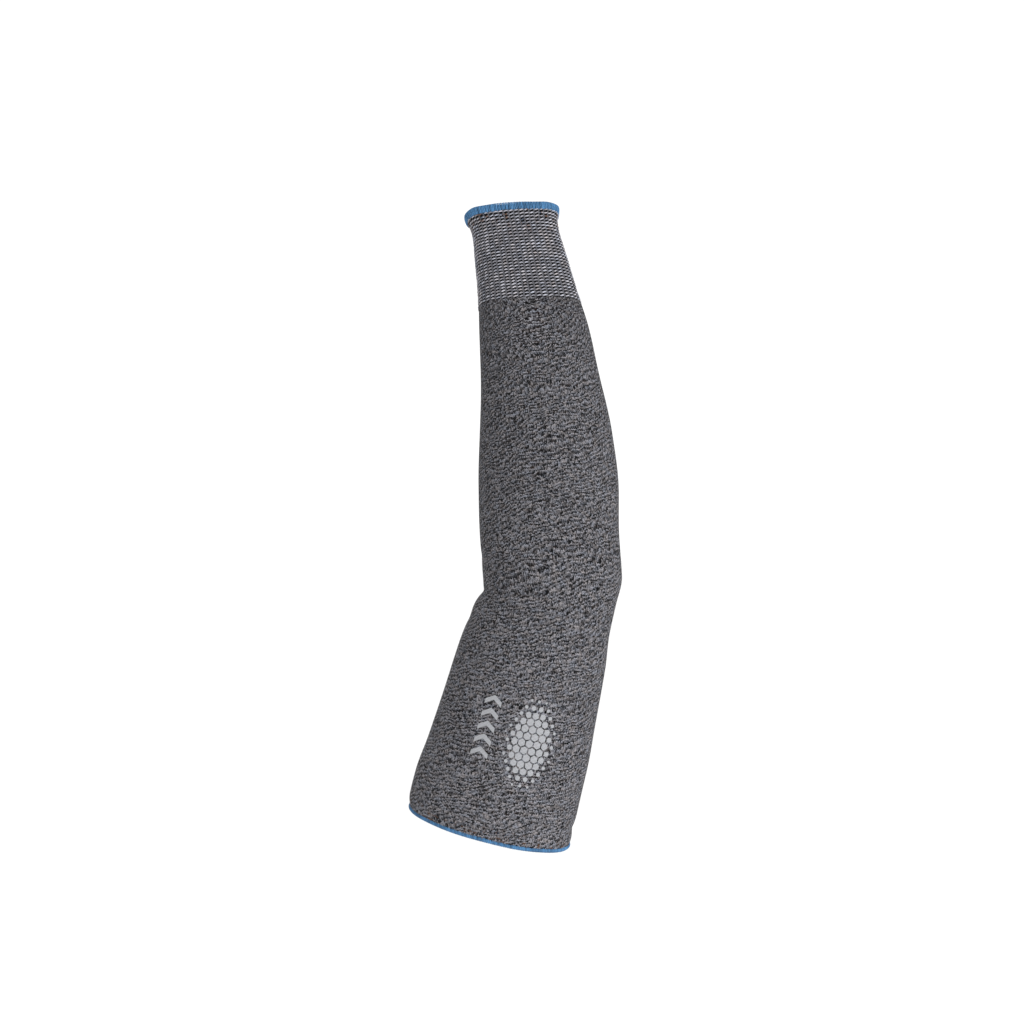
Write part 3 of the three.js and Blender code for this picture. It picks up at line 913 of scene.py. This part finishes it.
# Overlocked edges
# A blue textured thread is wrapped over each raw edge, stitch beside stitch, and covers it. The wrist's edge
# is stretched and flares out in a band, and the upper arm's is a thin cord.
THREAD_SIDES = 6
LOOP_CORNER_STEPS = 3
WRAP_SIZES = {
    "Reach": "NodeSocketFloat",
    "Wall": "NodeSocketFloat",
    "Thread": "NodeSocketFloat",
    "Spread": "NodeSocketFloat",
    "Stitches": "NodeSocketInt",
} | STITCH_SIZES


def numbered_curve(tree, curve, name):
    """A curve whose points know how far along it they are, from 0 to 1."""
    along = add(tree, "GeometryNodeSplineParameter")
    return add(
        tree,
        "GeometryNodeStoreNamedAttribute",
        {"Geometry": curve, "Name": name, "Value": along.outputs["Factor"]},
        data_type="FLOAT",
        domain="POINT",
    )


def wrap_tree():
    """Wraps a thread over an edge again and again. The host is the edge's line, with its directions. Spread
    is how much wider than thick the thread lies."""
    tree, sizes = new_tree("thread wrapped over an edge", WRAP_SIZES)
    line = add(tree, "GeometryNodeMeshToCurve", {"Mesh": sizes["Geometry"]})
    places = add(tree, "GeometryNodeResampleCurve", {"Curve": line, "Count": sizes["Stitches"]}, mode="COUNT")
    places = add(tree, "GeometryNodeCurveToPoints", {"Curve": places}, mode="EVALUATED")
    height = add(tree, "ShaderNodeMath", {0: sizes["Reach"], 1: sizes["Thread"]}, operation="SUBTRACT")
    breadth = add(tree, "ShaderNodeMath", {0: sizes["Wall"], 1: sizes["Thread"]}, operation="ADD")
    loop = add(tree, "GeometryNodeCurvePrimitiveQuadrilateral", {"Width": breadth, "Height": height})
    corner = add(tree, "ShaderNodeMath", {0: breadth, 1: 0.49}, operation="MULTIPLY")
    loop = add(
        tree,
        "GeometryNodeFilletCurve",
        {"Curve": loop, "Count": LOOP_CORNER_STEPS, "Radius": corner, "Limit Radius": True},
        mode="POLY",
    )
    half_thread = add(tree, "ShaderNodeMath", {0: sizes["Thread"], 1: 0.5}, operation="MULTIPLY")
    section = {"Resolution": THREAD_SIDES, "Radius": half_thread}
    section = add(tree, "GeometryNodeCurvePrimitiveCircle", section)
    loop = numbered_curve(tree, loop, "along")
    section = numbered_curve(tree, section, "around")
    loop = add(tree, "GeometryNodeCurveToMesh", {"Curve": loop, "Profile Curve": section})
    loop = add(tree, "GeometryNodeTransform", {"Geometry": loop, "Rotation": (radians(90), 0, radians(90))})
    sink = add(tree, "ShaderNodeMath", {0: sizes["Wall"], 1: -0.5}, operation="MULTIPLY")
    rise = add(tree, "ShaderNodeMath", {0: height, 1: 0.5}, operation="MULTIPLY")
    shift = add(tree, "ShaderNodeCombineXYZ", {"Y": sink, "Z": rise})
    loop = add(tree, "GeometryNodeTransform", {"Geometry": loop, "Translation": shift})
    size = add(tree, "ShaderNodeCombineXYZ", {"X": sizes["Spread"], "Y": 1.0, "Z": 1.0})
    lay_stitches(tree, sizes, places, loop, size, "Y")
    return tree


def corners_on_thread(mesh):
    """Where each face corner lies along and around its thread, from 0 to 1, also where a ring closes."""
    vertices = np.empty(len(mesh.loops), np.int32)
    mesh.loops.foreach_get("vertex_index", vertices)
    places = []
    for name in ("along", "around"):
        values = np.empty(len(mesh.vertices), np.float32)
        mesh.attributes[name].data.foreach_get("value", values)
        of_faces = values[vertices].reshape(-1, 4)
        closing = of_faces.max(1, keepdims=True) - of_faces > 0.5
        places.append((of_faces + closing).reshape(-1))
    return np.stack(places, -1)


# Textured nylon overlock thread: bulked fibres with a soft sheen, so the wraps merge into a smooth blue band
# that is only a little lighter and darker from wrap to wrap. Patches are so many to the metre, 8 mm apart.
PATCHES = 120.0
blue_thread, tree, shader = new_material("textured nylon overlock thread")
coordinates = add(tree, "ShaderNodeTexCoord").outputs["Object"]
thread = add(tree, "ShaderNodeUVMap", uv_map="thread")
fibres = fibres_in(tree, thread, (9.0, 7.0))
patches = add(tree, "ShaderNodeTexNoise", {"Vector": coordinates, "Scale": PATCHES, "Detail": 1.0})
shade = add(tree, "ShaderNodeAttribute", attribute_name="shade")
share = add(tree, "ShaderNodeMath", {0: shade.outputs["Fac"], 1: 0.5, 2: -0.2}, operation="MULTIPLY_ADD")
share = add(tree, "ShaderNodeMath", {0: fibres, 1: 0.6, 2: share}, operation="MULTIPLY_ADD")
share = add(tree, "ShaderNodeMath", {0: patches, 1: 0.4, 2: share}, operation="MULTIPLY_ADD", use_clamp=True)
blue = mixed(tree, share, "#1E3D5A", "#4A7BA6")
matt_yarn(tree, shader, blue, fibres, relief=0.15, strength=0.6, roughness=0.75, gloss=0.3)

# The lines of the two edges, which ripple a little, three and eight times around.
HEM_SIDES = 120
edge_angles = np.arange(HEM_SIDES) / HEM_SIDES * 2 * pi
edge_lines = [(side, (side + 1) % HEM_SIDES) for side in range(HEM_SIDES)]
ripple = np.sin(3 * edge_angles + 1.0) + 0.6 * np.sin(8 * edge_angles + 2.0)
hems = [
    {
        "name": "wrist_hem_thread",
        "node": "wrist_hem",
        "edge": SLEEVE_LENGTH - HEM_THREAD / 2,
        "rows_run": 1,
        "ripple": 0.3,
        "sizes": {
            "Reach": 6.0 * MM,
            "Wall": 1.9 * MM,
            "Thread": HEM_THREAD * MM,
            "Spread": 1.05,
            "Lean": radians(6),
            "Unevenness": 0.05,
            "Stitches": 176,
            "Seed": 2,
            "Yarn": blue_thread,
        },
    },
    {
        "name": "upper_arm_hem_thread",
        "node": "upper_arm_hem",
        "edge": HEM_THREAD / 2,
        "rows_run": -1,
        "ripple": 0.15,
        "sizes": {
            "Reach": 3.4 * MM,
            "Wall": 1.3 * MM,
            "Thread": HEM_THREAD * MM,
            "Spread": 1.35,
            "Lean": radians(24),
            "Unevenness": 0.07,
            "Stitches": 256,
            "Seed": 4,
            "Yarn": blue_thread,
        },
    },
]
wraps_over_edge = wrap_tree()
for hem in hems:
    distance = hem["edge"] + hem["ripple"] * ripple
    host = surface_host("edge line", distance, edge_angles, edges=edge_lines, rows_run=hem["rows_run"])
    thread = grown(hem["name"], host, wraps_over_edge, hem["sizes"])
    on_thread = corners_on_thread(thread.data)
    layer = thread.data.uv_layers.new(name="thread")
    layer.data.foreach_set("uv", on_thread.reshape(-1).astype(np.float32))
    lay_out_maps(thread.data, on_thread, hem["sizes"]["Stitches"], columns=16)
    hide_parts(hem["node"])
    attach(thread, "root")
